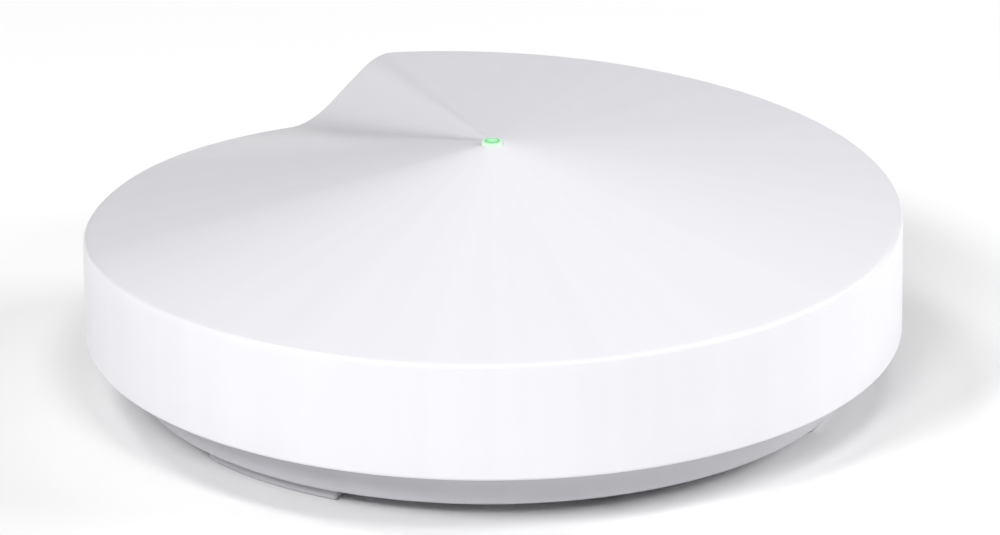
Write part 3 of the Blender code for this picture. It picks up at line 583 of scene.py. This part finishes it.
def make_materials():
    """One finished material for each material slot of the record."""
    surfaces = {
        "base_plastic": moulded("base_plastic", (0.60, 0.595, 0.63), 0.55, 2600.0, 0.02 * MM, 0.03),
        "bezel_plastic": moulded("bezel_plastic", (0.59, 0.585, 0.62), 0.5, 2600.0, 0.012 * MM, 0.02),
        "button_plastic": moulded("button_plastic", (0.35, 0.35, 0.36), 0.5),
        "foot_rubber": moulded("foot_rubber", (0.545, 0.54, 0.57), 0.8, 1500.0, 0.02 * MM, 0.03, 0.3),
        "jack_plastic": moulded("jack_plastic", (0.02, 0.02, 0.022), 0.42),
        "tongue_plastic": moulded("tongue_plastic", (0.025, 0.025, 0.028), 0.4),
        "chip_plastic": moulded("chip_plastic", (0.018, 0.018, 0.02), 0.45, 3500.0, 0.01 * MM, 0.1),
        "inductor_ferrite": moulded("inductor_ferrite", (0.07, 0.07, 0.075), 0.6, 2200.0, 0.015 * MM, 0.12),
        "pin_nylon": moulded("pin_nylon", (0.03, 0.03, 0.033), 0.4),
        "pad_silicone": moulded("pad_silicone", (0.30, 0.45, 0.58), 0.75, 1200.0, 0.02 * MM, 0.05),
        "frame_plastic": moulded("frame_plastic", (0.06, 0.06, 0.065), 0.5),
        "cable_jacket": moulded("cable_jacket", (0.015, 0.015, 0.017), 0.35),
        "seal_foam": moulded("seal_foam", (0.02, 0.02, 0.02), 0.95, 1800.0, 0.12 * MM, 0.3, 0.2),
        "chip_ceramic": moulded("chip_ceramic", (0.80, 0.78, 0.72), 0.5),
        "led_package": moulded("led_package", (0.85, 0.86, 0.78), 0.3),
        "contact_gold": metal("contact_gold", (0.83, 0.60, 0.24), 0.22, (1.0, 0.1, 1.0)),
        "inlet_steel": metal("inlet_steel", (0.62, 0.62, 0.63), 0.28, (1.0, 0.15, 1.0)),
        "shield_tin": metal("shield_tin", (0.66, 0.66, 0.64), 0.32, (0.15, 1.0, 1.0)),
        "capacitor_can": metal("capacitor_can", (0.75, 0.75, 0.76), 0.28, (1.0, 1.0, 0.1)),
        "heatsink_aluminium": metal("heatsink_aluminium", (0.72, 0.72, 0.73), 0.35, (1.0, 0.05, 1.0)),
        "antenna_copper": metal("antenna_copper", (0.72, 0.40, 0.24), 0.3, (1.0, 1.0, 0.2)),
        "socket_brass": metal("socket_brass", (0.80, 0.62, 0.30), 0.25),
        "screw_steel": metal("screw_steel", (0.58, 0.58, 0.60), 0.3),
    }
    finished = {slot: surface.material for slot, surface in surfaces.items()}
    finished["cover_plastic"] = spiral_plastic()
    finished["pipe_acrylic"] = lens_glow()
    finished["board_laminate"] = circuit_board()
    finished["label_film"] = label_film()
    return finished


def dress(obj, material):
    obj.data.materials.clear()
    obj.data.materials.append(material)


# ---------------------------------------------------------------- cover

def climb_slope(station):
    """Slope of the climb at a station of RIM_CLIMB, in millimetres for each degree."""
    before = RIM_CLIMB[max(station - 1, 0)]
    after = RIM_CLIMB[min(station + 1, len(RIM_CLIMB) - 1)]
    return (after[1] - before[1]) / (after[0] - before[0])


def climb_height(turn):
    """Rim height in millimetres at an angle from the foot of the step, smooth through RIM_CLIMB."""
    index = 0
    while index < len(RIM_CLIMB) - 2 and turn > RIM_CLIMB[index + 1][0]:
        index += 1
    start, end = RIM_CLIMB[index], RIM_CLIMB[index + 1]
    span = end[0] - start[0]
    t = (turn - start[0]) / span
    height = start[1] * (2 * t ** 3 - 3 * t ** 2 + 1) + end[1] * (3 * t ** 2 - 2 * t ** 3)
    height += climb_slope(index) * span * (t ** 3 - 2 * t ** 2 + t)
    height += climb_slope(index + 1) * span * (t ** 3 - t ** 2)
    return height


def knee(offset, reach, bend):
    """What rounding a knee adds at an offset from it; bend is how much the slope changes there."""
    if abs(offset) >= reach:
        return 0.0
    return bend * ((offset + reach) ** 2 / (4.0 * reach) - max(offset, 0.0))


def rim_height(angle):
    """Height of the rim at an angle: the long climb, and the short straight ramp back down."""
    climb_arc = RIM_CLIMB[-1][0]
    foot, crest = RIM_CLIMB[0][1], RIM_CLIMB[-1][1]
    ramp_slope = (foot - crest) / (STEP_FOOT_ANGLE - STEP_CREST_ANGLE)
    turn = (angle - STEP_FOOT_ANGLE) % 360.0
    height = climb_height(turn) if turn <= climb_arc else crest + ramp_slope * (turn - climb_arc)
    height += knee(turn - climb_arc, CREST_ROUNDING, ramp_slope - climb_slope(len(RIM_CLIMB) - 1))
    height += knee(wrapped(turn), FOOT_ROUNDING, climb_slope(0) - ramp_slope)
    return height * MM


def top_height(radius, rim):
    """Height of the top on the straight line from the apex to a rim of the given height."""
    return APEX_HEIGHT + (rim - APEX_HEIGHT) * radius / COVER_RADIUS


def cover_section(angle):
    """Section of the shell at an angle: out along the top, down the wall and back inside."""
    rim = rim_height(angle)
    inner = COVER_RADIUS - COVER_WALL
    rings = [radius * MM for radius in TOP_RINGS]
    lip = (LENS_HOLE_RADIUS, top_height(LENS_HOLE_RADIUS, rim))
    lip_end = lip[0] + LIP_ROUNDING
    outside = corner((lip[0], lip[1] - LIP_ROUNDING), lip, (lip_end, top_height(lip_end, rim)), 3)
    outside += [(radius, top_height(radius, rim)) for radius in rings]
    edge = COVER_RADIUS - RIM_ROUNDING
    outside += corner((edge, top_height(edge, rim)), (COVER_RADIUS, rim),
                      (COVER_RADIUS, rim - RIM_ROUNDING), 8)
    outside += [(COVER_RADIUS, COVER_EDGE_HEIGHT + EDGE_ROUNDING + (rim - COVER_EDGE_HEIGHT) * share)
                for share in (0.6, 0.3)]
    outside += arc((COVER_RADIUS - EDGE_ROUNDING, COVER_EDGE_HEIGHT + EDGE_ROUNDING), EDGE_ROUNDING,
                   0.0, -90.0, 6)
    outside += arc((inner + INNER_EDGE_ROUNDING, COVER_EDGE_HEIGHT + INNER_EDGE_ROUNDING),
                   INNER_EDGE_ROUNDING, -90.0, -180.0, 3)
    inside = [(radius, top_height(radius, rim) - COVER_WALL)
              for radius in (inner, *reversed(rings[:-1]), LENS_HOLE_RADIUS)]
    return outside + inside


def make_cover(material):
    cover = turned("cover", cover_section, COVER_COLUMNS)
    bosses = []
    cutters = [rear_bar("notch", (0.0, 0.0), (RECESS_HALF_WIDTH, RECESS_ROOF), NOTCH_ROUNDING,
                        (PLATE_FRONT, REAR + 5.0 * MM))]
    for angle in CASE_SCREW_ANGLES:
        centre = polar(CASE_SCREW_RADIUS, angle)
        roof = top_height(CASE_SCREW_RADIUS, rim_height(angle)) - COVER_WALL / 2.0
        bosses.append(prism("boss", disc_outline(centre, CASE_BOSS_RADIUS), CASE_BOSS_BOTTOM, roof))
        cutters.append(prism("pilot", disc_outline(centre, CASE_PILOT_RADIUS, 32),
                             CASE_BOSS_BOTTOM - MM, CASE_PILOT_TOP))
    carve(cover, bosses, "UNION")
    carve(cover, cutters)
    smooth(cover, SHELL_SHARP_ANGLE)
    dress(cover, material)
    place(cover, "housing", "cover_plastic", "top_cover")


# ---------------------------------------------------------------- base and feet

def base_section():
    """Section of the base: out along the floor, up the inner wall, round the flange and back."""
    inner_low = BASE_BOTTOM_RADIUS - BASE_WALL
    inner_high = BASE_TOP_RADIUS - BASE_WALL
    section = [(0.0, FLOOR_TOP), (inner_low - 0.6 * MM, FLOOR_TOP)]
    section += corner((inner_low - FLOOR_FILLET, FLOOR_TOP), (inner_low, FLOOR_TOP),
                      (inner_low + 0.1 * MM, FLOOR_TOP + FLOOR_FILLET), 3)
    section += [(inner_high, FLANGE_TOP)]
    section += corner((FLANGE_RADIUS - FLANGE_TOP_ROUNDING, FLANGE_TOP), (FLANGE_RADIUS, FLANGE_TOP),
                      (FLANGE_RADIUS, FLANGE_TOP - FLANGE_TOP_ROUNDING), 3)
    section += corner((FLANGE_RADIUS, FLANGE_BOTTOM + FLANGE_BOTTOM_ROUNDING),
                      (FLANGE_RADIUS, FLANGE_BOTTOM),
                      (FLANGE_RADIUS - FLANGE_BOTTOM_ROUNDING, FLANGE_BOTTOM), 3)
    section += corner((BASE_TOP_RADIUS + UNDER_FLANGE_FILLET, FLANGE_BOTTOM),
                      (BASE_TOP_RADIUS, FLANGE_BOTTOM),
                      (BASE_TOP_RADIUS - 0.09 * MM, FLANGE_BOTTOM - UNDER_FLANGE_FILLET), 4)
    slope = (BASE_TOP_RADIUS - BASE_BOTTOM_RADIUS) / (FLANGE_BOTTOM - FLOOR_BOTTOM)
    start = BASE_BOTTOM_RADIUS + slope * BASE_ROUNDING
    section += corner((start, FLOOR_BOTTOM + BASE_ROUNDING), (BASE_BOTTOM_RADIUS, FLOOR_BOTTOM),
                      (BASE_BOTTOM_RADIUS - BASE_ROUNDING, FLOOR_BOTTOM), 7)
    section += corner((LABEL_RADIUS + LABEL_EDGE_ROUNDING, FLOOR_BOTTOM), (LABEL_RADIUS, FLOOR_BOTTOM),
                      (LABEL_RADIUS, FLOOR_BOTTOM + LABEL_EDGE_ROUNDING), 3)
    section += [(LABEL_RADIUS, FLOOR_BOTTOM + LABEL_RECESS), (0.0, FLOOR_BOTTOM + LABEL_RECESS)]
    return section


def vent_cutters():
    """Cutters of the slots through the flange, none of them near the sockets."""
    cutters = []
    for index in range(VENT_COUNT):
        angle = 360.0 * (index + 0.5) / VENT_COUNT
        if abs(wrapped(angle - REAR_ANGLE)) < VENT_FREE_ARC:
            continue
        outline = rounded_outline(VENT_SIZE[0] / 2.0, VENT_SIZE[1] / 2.0, VENT_ROUNDING, 4)
        slot = prism("vent", outline, FLANGE_TOP - VENT_SIZE[2] / 2.0, FLANGE_TOP + VENT_SIZE[2] / 2.0)
        slot.data.transform(Matrix.Rotation(math.radians(angle), 4, "Z"))
        slot.data.transform(Matrix.Translation((*polar(VENT_RADIUS, angle), 0.0)))
        cutters.append(slot)
    return cutters


def bore_cutter(name, centre, hole, countersink, counterbore=None):
    """A turned cutter: hole and counterbore are (radius, top), countersink is its mouth's radius."""
    radius, top = hole
    profile = [(0.0, top), (radius, top)]
    if counterbore:
        profile += [(radius, counterbore[1]), counterbore]
        radius = counterbore[0]
    mouth = FLOOR_BOTTOM - MOUTH_OFFSET
    profile += [(radius, mouth + countersink - radius), (countersink, mouth), (0.0, mouth)]
    cutter = lathe(name, profile, 48)
    cutter.data.transform(Matrix.Translation((*centre, 0.0)))
    return cutter


def make_base(material):
    base = lathe("base", base_section(), BASE_COLUMNS)
    pads = []
    bores = []
    for angle in CASE_SCREW_ANGLES:
        centre = polar(CASE_SCREW_RADIUS, angle)
        pads.append(prism("pad", disc_outline(centre, CASE_PAD_RADIUS), *CASE_PAD_RANGE))
        bores.append(bore_cutter("screw_bore", centre, CASE_HOLE, CASE_MOUTH_RADIUS, CASE_COUNTERBORE))
    for angle in BOARD_SCREW_ANGLES:
        centre = polar(BOARD_SCREW_RADIUS, angle)
        pads.append(prism("board_boss", disc_outline(centre, BOARD_BOSS_RADIUS), *BOARD_BOSS_RANGE))
        bores.append(prism("board_pilot", disc_outline(centre, BOARD_PILOT_RADIUS, 32),
                           BOARD_PILOT_BOTTOM, BOARD_BOSS_RANGE[1] + MM))
    bores.append(bore_cutter("reset_bore", RESET_CENTRE, RESET_HOLE, RESET_MOUTH_RADIUS))
    pocket_half_arc = FOOT_HALF_ARC + POCKET_END_GAP
    for angle in FOOT_ANGLES:
        outline = sector_outline(FOOT_INNER_RADIUS - GAP, FOOT_OUTER_RADIUS + GAP,
                                 angle - pocket_half_arc, angle + pocket_half_arc)
        bores.append(prism("pocket", outline, FLOOR_BOTTOM - POCKET_OFFSET, POCKET_TOP))
    half_window = RECESS_HALF_WIDTH + BEZEL_WALL + GAP
    bores.append(box("window", (-half_window, half_window), (PLATE_BACK - GAP, REAR),
                     (FLOOR_TOP - 0.1 * MM, FLANGE_TOP + MM)))
    carve(base, pads, "UNION")
    carve(base, bores + vent_cutters())
    smooth(base, SHELL_SHARP_ANGLE)
    dress(base, material)
    place(base, "housing", "base_plastic", "base_shell")


def make_feet(material):
    for index, angle in enumerate(FOOT_ANGLES, start=1):
        outline = sector_outline(FOOT_INNER_RADIUS, FOOT_OUTER_RADIUS,
                                 angle - FOOT_HALF_ARC, angle + FOOT_HALF_ARC)
        foot = prism(f"rubber_foot_{index}", outline, 0.0, POCKET_TOP - GAP)
        round_edges(foot, RUBBER_ROUNDING)
        smooth(foot, SMALL_SHARP_ANGLE)
        dress(foot, material)
        place(foot, "housing", "foot_rubber", f"foot_{index}")


# ---------------------------------------------------------------- sockets

def make_bezel(material):
    """Liner of the recess: a roof, two cheeks and the plate with the three sockets' windows."""
    half = RECESS_HALF_WIDTH + BEZEL_WALL
    bezel = box("socket_bezel", (-half, half), (PLATE_BACK, REAR),
                (FLOOR_TOP + GAP, RECESS_ROOF + BEZEL_WALL))
    trim = prism("trim", disc_outline((0.0, 0.0), BEZEL_RADIUS, 360), 0.0, 30.0 * MM)
    carve(bezel, [trim], "INTERSECT")
    carve(bezel, [rear_bar("recess", (0.0, 0.0), (RECESS_HALF_WIDTH, RECESS_ROOF), RECESS_ROUNDING,
                           (PLATE_FRONT, REAR + MM))])
    through_plate = (PLATE_BACK - MM, PLATE_FRONT + 0.5 * MM)
    cutters = [box("under_cheeks", (-half - MM, half + MM), (PLATE_FRONT, REAR), (0.0, CHEEK_BOTTOM))]
    for centre in JACK_CENTRES:
        cutters.append(rear_bar("jack_window", (centre, JACK_HEIGHT), JACK_HALF, JACK_ROUNDING,
                                through_plate))
    cutters.append(rear_bar("power_window", POWER_PLACE, (POWER_HALF[0] + GAP, POWER_HALF[1] + GAP),
                            POWER_ROUNDING, through_plate))
    carve(bezel, cutters)
    round_edges(bezel, BEZEL_ROUNDING, 2, SOCKET_BEVEL_ANGLE)
    smooth(bezel, SMALL_SHARP_ANGLE)
    dress(bezel, material)
    place(bezel, "housing", "bezel_plastic", "port_bezel")


def tube(name, points, radius):
    """A round wire through points, as a mesh with closed ends."""
    curve = bpy.data.curves.new(name, "CURVE")
    curve.dimensions = "3D"
    curve.bevel_depth = radius
    curve.bevel_resolution = 2
    curve.use_fill_caps = True
    spline = curve.splines.new("POLY")
    spline.points.add(len(points) - 1)
    for slot, point in zip(spline.points, points):
        slot.co = (*point, 1.0)
    obj = link(bpy.data.objects.new(name, curve))
    bpy.context.view_layer.update()
    mesh = evaluated_mesh(obj)
    bpy.data.objects.remove(obj, do_unlink=True)
    mesh_data = bmesh.new()
    mesh_data.from_mesh(mesh)
    bmesh.ops.remove_doubles(mesh_data, verts=mesh_data.verts, dist=0.001 * MM)
    mesh_data.to_mesh(mesh)
    mesh_data.free()
    return link(bpy.data.objects.new(name, mesh))


def make_contacts(material):
    """Eight spring wires in each socket, sloping down from the roof towards the back."""
    for index, centre in enumerate(JACK_CENTRES, start=1):
        low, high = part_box(f"lan_contacts_{index}")
        wires = []
        for number in range(CONTACT_COUNT):
            x = centre + CONTACT_PITCH * (number - (CONTACT_COUNT - 1) / 2.0)
            points = [(x, high.y - 0.2 * MM, high.z - 0.1 * MM),
                      (x, high.y - 1.2 * MM, high.z - 0.15 * MM),
                      (x, high.y - 2.2 * MM, high.z - 0.6 * MM),
                      (x, low.y + 0.6 * MM, high.z - 3.6 * MM)]
            wires.append(tube("wire", points, CONTACT_WIRE_RADIUS))
        contacts = smooth(merge(f"contact_springs_{index}", wires))
        dress(contacts, material)
        place(contacts, "housing", "contact_gold", f"lan_contacts_{index}")


def make_power_inlet(material):
    """Steel sleeve of the power inlet, open to the rear."""
    low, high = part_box("usb_c_receptacle")
    centre = ((low.x + high.x) / 2.0, (low.z + high.z) / 2.0)
    half = ((high.x - low.x) / 2.0, (high.z - low.z) / 2.0)
    hollow = (half[0] - POWER_SHEET, half[1] - POWER_SHEET)
    # The ends are as good as half round: the rounding stops just short of the half height.
    sleeve = rear_bar("power_sleeve", centre, half, half[1] - 0.01 * MM, (low.y, high.y))
    cavity = rear_bar("cavity", centre, hollow, hollow[1] - 0.01 * MM,
                      (low.y + POWER_BACK_WALL, high.y + MM))
    carve(sleeve, [cavity])
    round_edges(sleeve, POWER_EDGE_ROUNDING, 2, SOCKET_BEVEL_ANGLE)
    smooth(sleeve, SMALL_SHARP_ANGLE)
    dress(sleeve, material)
    place(sleeve, "housing", "inlet_steel", "usb_c_receptacle")


# ---------------------------------------------------------------- indicator

def make_lens(material):
    """Light pipe whose domed end stands just above the apex of the cover."""
    low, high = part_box("light_pipe")
    edge = high.z - LENS_DOME
    roof = top_height(PIPE_ROOF_RADIUS, rim_height(STEP_FOOT_ANGLE)) - COVER_WALL
    flange_top = roof - GAP
    flange_bottom = flange_top - PIPE_FLANGE_THICKNESS
    dome = []
    steps = 8
    for number in range(steps + 1):
        turn = math.radians(90.0 * number / steps)
        dome.append((LENS_RADIUS * math.sin(turn), edge + LENS_DOME * math.cos(turn)))
    stem = [(LENS_RADIUS, flange_top), (PIPE_FLANGE_RADIUS, flange_top),
            (PIPE_FLANGE_RADIUS, flange_bottom), (PIPE_RADIUS, flange_bottom),
            (PIPE_RADIUS, low.z), (0.0, low.z)]
    lens = smooth(lathe("indicator_lens", dome + stem, 64))
    dress(lens, material)
    place(lens, "housing", "pipe_acrylic", "light_pipe")


# ---------------------------------------------------------------- floor, light and camera

def make_stage():
    size = FLOOR_HALF_SIZE
    vertices = [(-size, -size, 0.0), (size, -size, 0.0), (size, size, 0.0), (-size, size, 0.0)]
    floor = mesh_object("floor", vertices, [(0, 1, 2, 3)])
    surface = Surface("pale_floor", 0.9)
    surface.colour((0.92, 0.92, 0.92))
    surface.set(Specular_IOR_Level=0.0)
    dress(floor, surface.material)


def direction_at(azimuth, elevation):
    """Unit vector towards an azimuth, 0 in front and growing to the right, and an elevation."""
    across, up = math.radians(azimuth), math.radians(elevation)
    return Vector((math.sin(across) * math.cos(up), -math.cos(across) * math.cos(up), math.sin(up)))


def softbox(name, azimuth, elevation, power):
    """A soft round light aimed at the object."""
    data = bpy.data.lights.new(name, "AREA")
    data.shape = "DISK"
    data.size = LIGHT_SIZE
    data.energy = power
    light = link(bpy.data.objects.new(name, data))
    direction = direction_at(azimuth, elevation)
    light.location = direction * LIGHT_DISTANCE
    light.rotation_euler = direction.to_track_quat("Z", "Y").to_euler()


def make_lights():
    """Softboxes round the object, and a faint light from everywhere."""
    world = bpy.data.worlds.new("studio")
    world.use_nodes = True
    background = world.node_tree.nodes["Background"]
    background.inputs["Color"].default_value = (1.0, 1.0, 1.0, 1.0)
    background.inputs["Strength"].default_value = AMBIENT
    bpy.context.scene.world = world
    for light in SOFTBOXES:
        softbox(*light)


def make_camera():
    data = bpy.data.cameras.new("camera")
    data.lens = CAMERA_LENS
    data.sensor_width = CAMERA_SENSOR
    data.clip_end = CAMERA_FAR_END
    camera = link(bpy.data.objects.new("camera", data))
    middle = Vector((0.0, 0.0, AIM_HEIGHT))
    across = math.radians(CAMERA_AZIMUTH)
    target = middle + Vector((math.cos(across), math.sin(across), 0.0)) * AIM_RIGHT
    camera.location = middle + direction_at(CAMERA_AZIMUTH, CAMERA_ELEVATION) * CAMERA_DISTANCE
    turn = (camera.location - target).to_track_quat("Z", "Y").to_matrix().to_4x4()
    roll = Matrix.Rotation(math.radians(CAMERA_ROLL), 4, "Z")
    camera.rotation_euler = (turn @ roll).to_euler()
    bpy.context.scene.camera = camera


# ---------------------------------------------------------------- build

def main():
    materials = make_materials()
    make_camera()
    make_lights()
    make_stage()
    slots = {row["node"]: row["material_slot"] for row in frame["record"]["subparts"]}
    for name, node in NODES.items():
        dress(node, materials[slots[name]])
    make_cover(materials["cover_plastic"])
    make_base(materials["base_plastic"])
    make_feet(materials["foot_rubber"])
    make_bezel(materials["bezel_plastic"])
    make_contacts(materials["contact_gold"])
    make_power_inlet(materials["inlet_steel"])
    make_lens(materials["pipe_acrylic"])
    bpy.context.scene.view_settings.view_transform = "Standard"


main()
bpy.context.view_layer.update()
